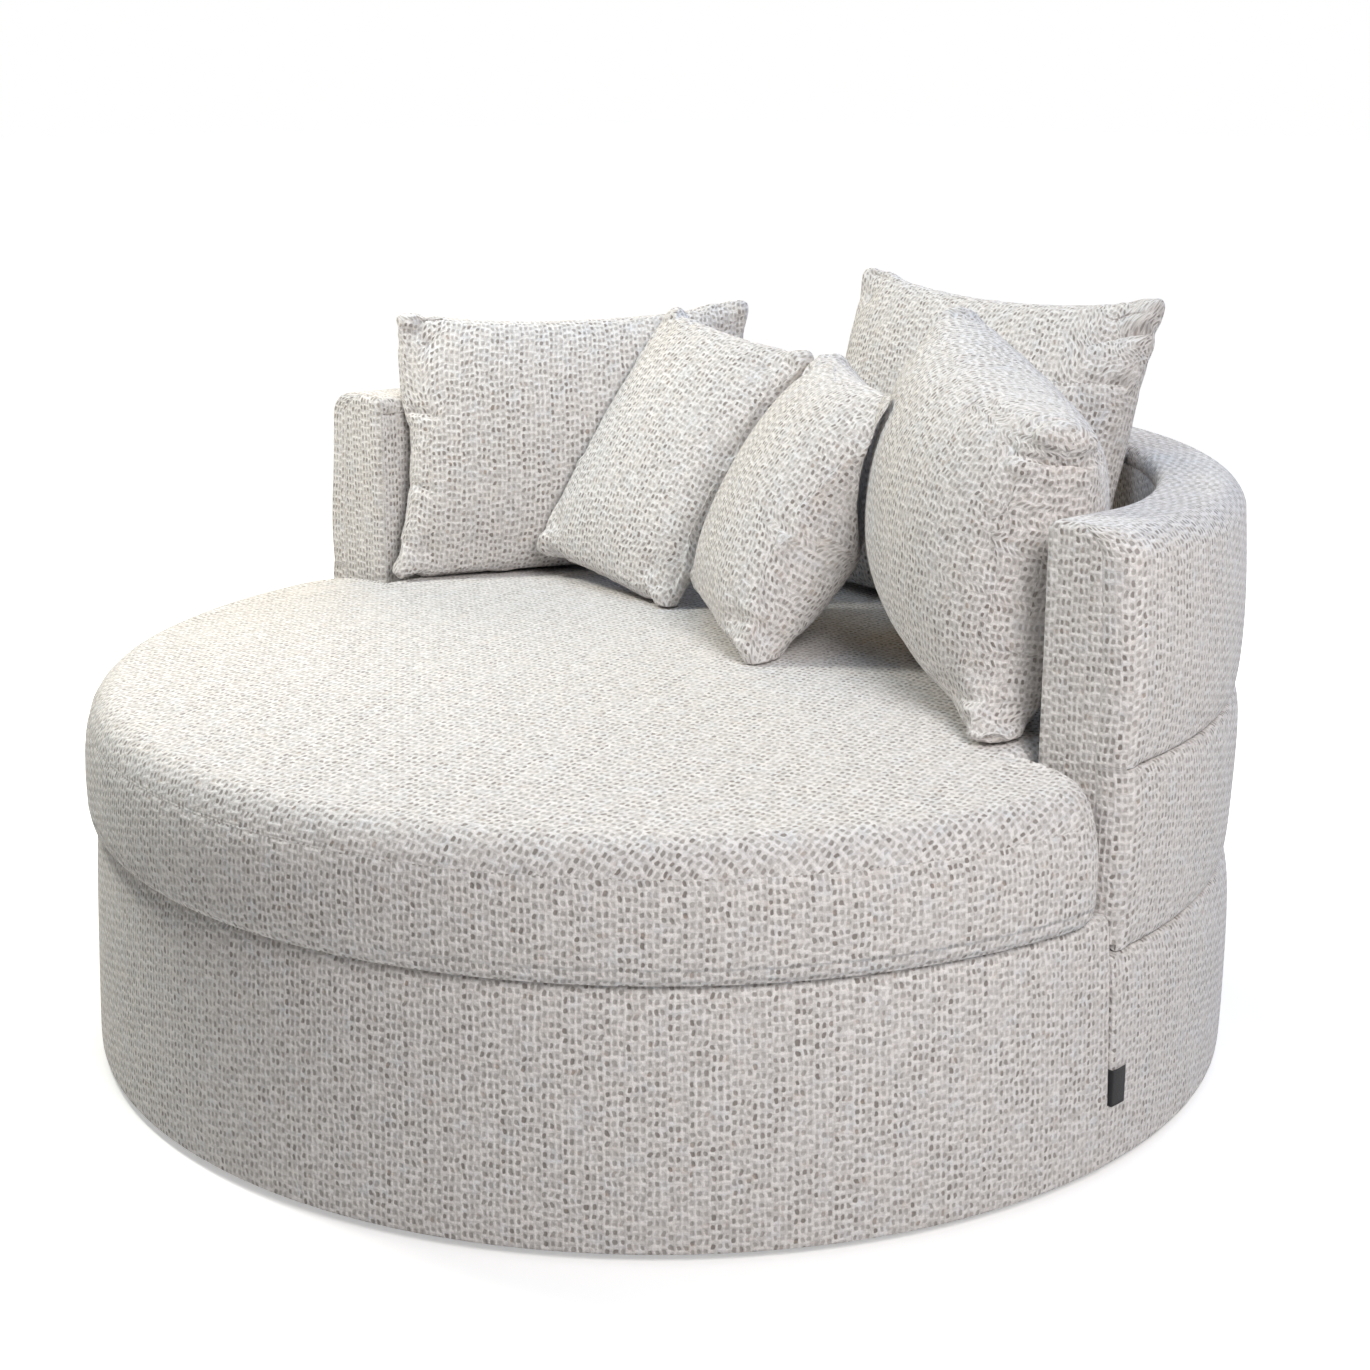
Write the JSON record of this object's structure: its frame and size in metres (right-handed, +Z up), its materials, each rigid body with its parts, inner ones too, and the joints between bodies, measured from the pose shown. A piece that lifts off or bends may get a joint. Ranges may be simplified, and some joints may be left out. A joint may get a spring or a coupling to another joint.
{
  "type": "round loveseat",
  "caption": "Round loveseat with a half round stuffed back on a drum base, a loose seat cushion and loose scatter cushions in cream basket weave.",
  "frame": {"origin": "middle of the drum on the floor, under the glides", "axes": "+Z up, -Y towards the front of the seat, +X towards the left hand of someone who sits on it, which is the right-hand side of the picture"},
  "size_m": [1.4976, 1.4976, 0.9354],
  "materials": {
    "weave": "chunky cream and taupe basket weave",
    "foam": "soft foam with wadding",
    "plywood": "raw plywood",
    "timber": "raw pine",
    "hardboard": "raw hardboard",
    "webbing": "woven elastic webbing",
    "dust_cloth": "non-woven cloth",
    "black_plastic": "matt",
    "black_tape": "bare woven tape"
  },
  "bodies": {
    "frame_and_shell": {"glide_1": "black_plastic", "glide_2": "black_plastic", "glide_3": "black_plastic", "glide_4": "black_plastic", "glide_5": "black_plastic", "glide_6": "black_plastic", "dust_cover": "dust_cloth", "base_ring": "plywood", "base_skin": "hardboard", "base_post_1": "timber", "base_post_2": "timber", "base_post_3": "timber", "base_post_4": "timber", "base_post_5": "timber", "base_post_6": "timber", "base_rail_left": "timber", "base_rail_right": "timber", "deck_ring": "plywood", "strap_across_1": "webbing", "strap_across_2": "webbing", "strap_across_3": "webbing", "strap_across_4": "webbing", "strap_along_1": "webbing", "strap_along_2": "webbing", "strap_along_3": "webbing", "strap_along_4": "webbing", "deck_pad": "foam", "front_band": "weave", "back_ring_middle": "plywood", "back_ring_top": "plywood", "back_post_lower_1": "timber", "back_post_lower_2": "timber", "back_post_lower_3": "timber", "back_post_lower_4": "timber", "back_post_upper_1": "timber", "back_post_upper_2": "timber", "back_post_upper_3": "timber", "back_post_upper_4": "timber", "inner_back_panel": "hardboard", "outer_back_panel": "hardboard", "arm_board_left": "plywood", "arm_board_right": "plywood", "inside_back_pad": "weave", "back_roll_lower": "weave", "back_roll_middle": "weave", "back_roll_upper": "weave", "arm_front_pad_left": "weave", "arm_front_pad_right": "weave", "label_tab": "black_tape"},
    "seat": {"seat_cushion_cover": "weave", "seat_cushion_core": "foam", "seat_cushion_underside": "weave"},
    "left_large": {"cushion_left_large": "weave"},
    "left_small": {"cushion_left_small": "weave"},
    "right_small": {"cushion_right_small": "weave"},
    "back_large": {"cushion_back_large": "weave"},
    "right_large": {"cushion_right_large": "weave"}
  },
  "joints": [
    {"name": "lift_seat", "type": "slide", "parent": "frame_and_shell", "child": "seat", "axis": [0, 0, 1], "range_m": [0, 0.45]},
    {"name": "lift_left_large", "type": "slide", "parent": "seat", "child": "left_large", "axis": [0, 0, 1], "range_m": [0, 0.45]},
    {"name": "lift_left_small", "type": "slide", "parent": "left_large", "child": "left_small", "axis": [-0.1994, -0.6979, 0.6879], "range_m": [0, 0.4]},
    {"name": "lift_back_large", "type": "slide", "parent": "seat", "child": "back_large", "axis": [0.031, 0.2649, 0.9638], "range_m": [0, 0.45]},
    {"name": "lift_right_large", "type": "slide", "parent": "back_large", "child": "right_large", "axis": [0, 0, 1], "range_m": [0, 0.45]},
    {"name": "lift_right_small", "type": "slide", "parent": "right_large", "child": "right_small", "axis": [0.1509, -0.704, 0.694], "range_m": [0, 0.4]}
  ]
}
